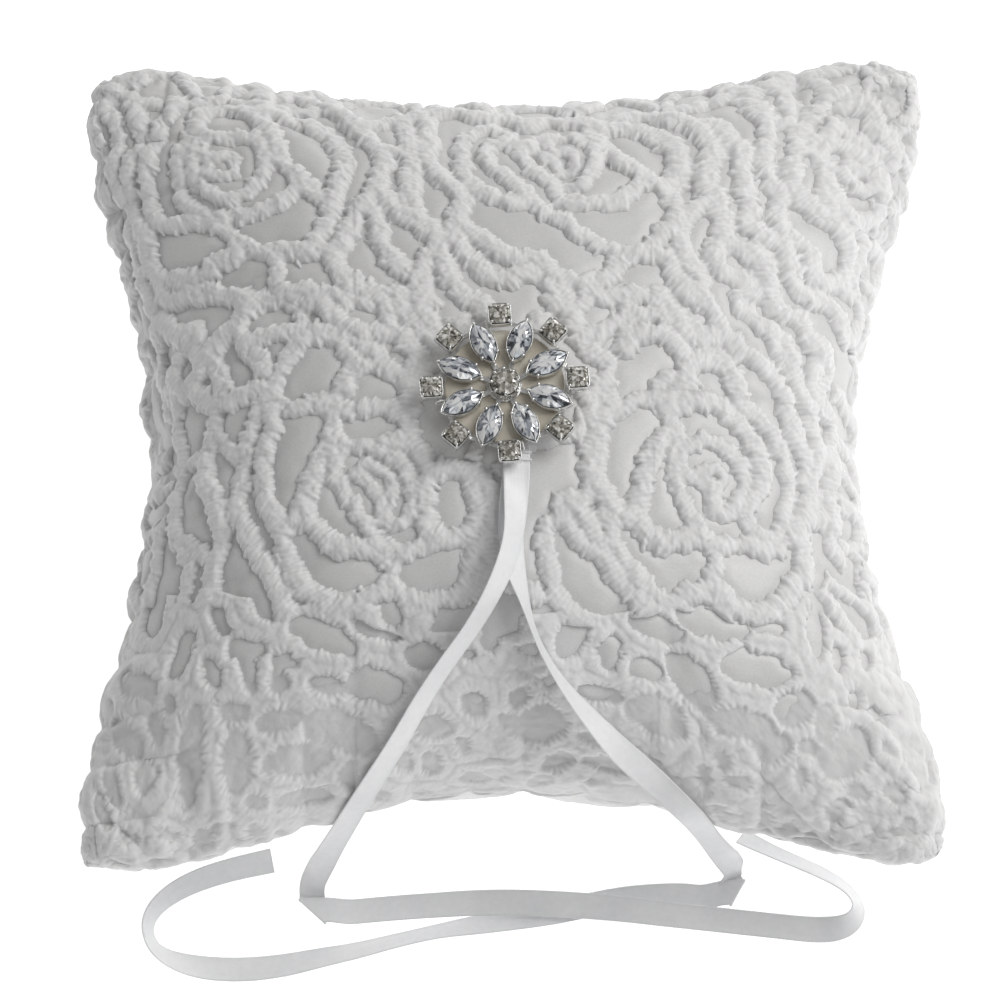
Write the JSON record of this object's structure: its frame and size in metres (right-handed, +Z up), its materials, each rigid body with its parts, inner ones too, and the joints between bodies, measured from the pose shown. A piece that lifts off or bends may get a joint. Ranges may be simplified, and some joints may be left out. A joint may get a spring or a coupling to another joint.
{
  "type": "ring bearer pillow",
  "caption": "Square fibre-filled satin ring pillow with a corded rose lace front, a crystal flower brooch at the crown and two loose ribbon tails for tying rings.",
  "frame": {"origin": "middle of the rest face on the pillow's back, under the centre of the square; free ribbon tails left out", "axes": "+Z up out of the lace front towards the brooch, +Y towards the pillow's top edge, +X to its right as seen from the front; the ribbon tails hang over the -Y edge"},
  "size_m": [0.2012, 0.2176, 0.0843],
  "materials": {
    "filling": "loose white polyester fibrefill",
    "satin": "white polyester satin, soft sheen",
    "lace": "white corded guipure-style lace, matt and raised",
    "thread": "white polyester sewing thread",
    "ribbon": "white double-face satin ribbon, smooth sheen",
    "felt": "smooth ivory-beige backing felt",
    "silver": "bright silver-tone plate on cast metal",
    "crystal_clear": "clear foil-backed cut stones",
    "crystal_smoke": "smoky foil-backed cut stones"
  },
  "bodies": {
    "root": {"fibrefill_core": "filling", "satin_front_panel": "satin", "satin_back_panel": "satin", "lace_overlay": "lace", "perimeter_seam_thread": "thread", "closing_stitches": "thread", "brooch_backing_pad": "felt", "brooch_frame": "silver", "marquise_settings": "silver", "square_settings": "silver", "centre_setting": "silver", "marquise_crystals": "crystal_clear", "accent_crystals": "crystal_smoke", "centre_crystal": "crystal_smoke", "brooch_stitches": "thread", "ribbon_fold": "ribbon", "ribbon_left_tail": "ribbon", "ribbon_right_tail": "ribbon", "ribbon_tack_stitches": "thread"}
  },
  "joints": []
}
